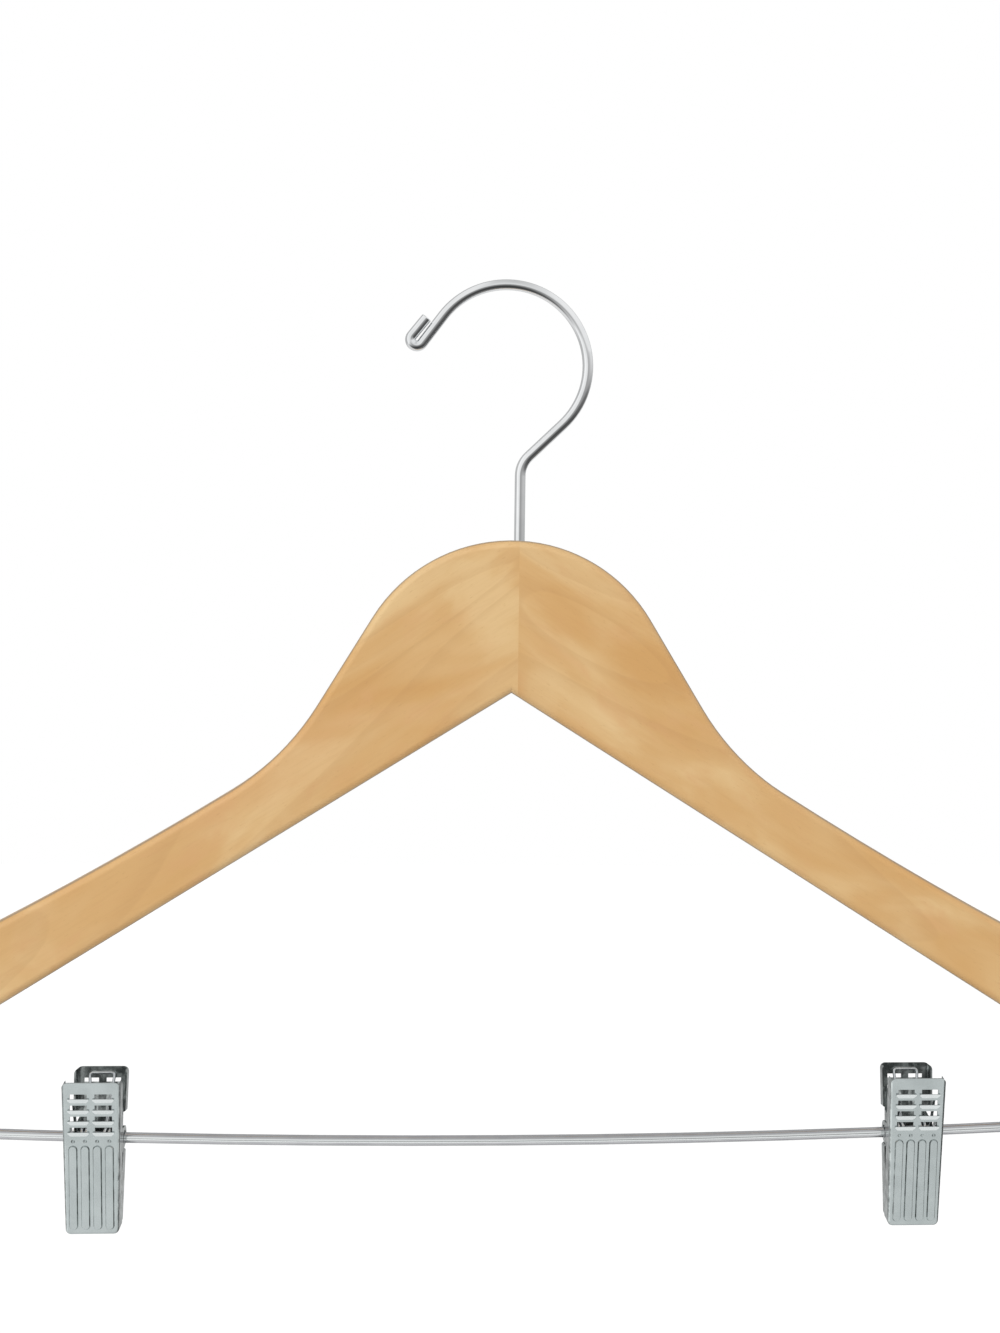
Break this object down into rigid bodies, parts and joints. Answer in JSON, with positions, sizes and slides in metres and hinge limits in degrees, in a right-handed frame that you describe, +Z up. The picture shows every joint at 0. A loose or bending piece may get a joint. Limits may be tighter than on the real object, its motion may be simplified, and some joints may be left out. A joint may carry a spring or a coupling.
{
  "type": "skirt hanger",
  "caption": "Wooden clothes hanger with a turning wire hook, a low steel bar and sprung sheet-metal clips that slide and swing on the bar.",
  "frame": {"origin": "centre of the hook's round, where a clothes rail lies", "axes": "+X along the bar to the picture's right, +Y away from the front, +Z up; the object hangs plumb"},
  "size_m": [0.445, 0.0222, 0.3194],
  "materials": {
    "wood": "light maple under a satin lacquer",
    "hook_chrome": "polished chrome plate",
    "fixings": "plain zinc-plated steel",
    "bar_steel": "drawn steel rod, nickel plated",
    "clip_plate": "bright zinc-plated pressed sheet",
    "spring_steel": "plated spring wire"
  },
  "bodies": {
    "hook": {"hook": "hook_chrome", "hook_washer": "fixings", "hook_nut": "fixings"},
    "hanger": {"left_arm": "wood", "right_arm": "wood", "skirt_bar": "bar_steel"},
    "left_clip_slider": {"left_clip_spring": "spring_steel"},
    "left_clip_back": {"left_clip_back_jaw": "clip_plate"},
    "left_clip_front": {"left_clip_front_jaw": "clip_plate"},
    "right_clip_slider": {"right_clip_spring": "spring_steel"},
    "right_clip_back": {"right_clip_back_jaw": "clip_plate"},
    "right_clip_front": {"right_clip_front_jaw": "clip_plate"}
  },
  "joints": [
    {"name": "hook_swivel", "type": "hinge", "parent": "hook", "child": "hanger", "pos_m": [0.0048, 0, -0.0588], "axis": [0, 0, 1], "continuous": true},
    {"name": "left_clip_travel", "type": "hinge", "parent": "hanger", "child": "left_clip_slider", "pos_m": [0.0027, 0, 4.0281], "axis": [0, -1, 0], "range_deg": [-0.54, 1.68]},
    {"name": "left_clip_tilt", "type": "hinge", "parent": "left_clip_slider", "child": "left_clip_back", "pos_m": [-0.1337, 0, -0.25973], "axis": [1, 0, 0], "continuous": true, "deforming": ["left_clip_spring"]},
    {"name": "left_clip_open", "type": "hinge", "parent": "left_clip_back", "child": "left_clip_front", "pos_m": [-0.1337, 0, -0.25973], "axis": [-1, 0, 0], "range_deg": [0, 24], "stiffness_Nm_per_rad": 0.25, "springref_deg": -28.65, "deforming": ["left_clip_spring"]},
    {"name": "right_clip_travel", "type": "hinge", "parent": "hanger", "child": "right_clip_slider", "pos_m": [0.0027, 0, 4.0281], "axis": [0, -1, 0], "range_deg": [-1.71, 0.5]},
    {"name": "right_clip_tilt", "type": "hinge", "parent": "right_clip_slider", "child": "right_clip_back", "pos_m": [0.1417, 0, -0.25965], "axis": [1, 0, 0], "continuous": true, "deforming": ["right_clip_spring"]},
    {"name": "right_clip_open", "type": "hinge", "parent": "right_clip_back", "child": "right_clip_front", "pos_m": [0.1417, 0, -0.25965], "axis": [-1, 0, 0], "range_deg": [0, 24], "stiffness_Nm_per_rad": 0.25, "springref_deg": -28.65, "deforming": ["right_clip_spring"]}
  ]
}
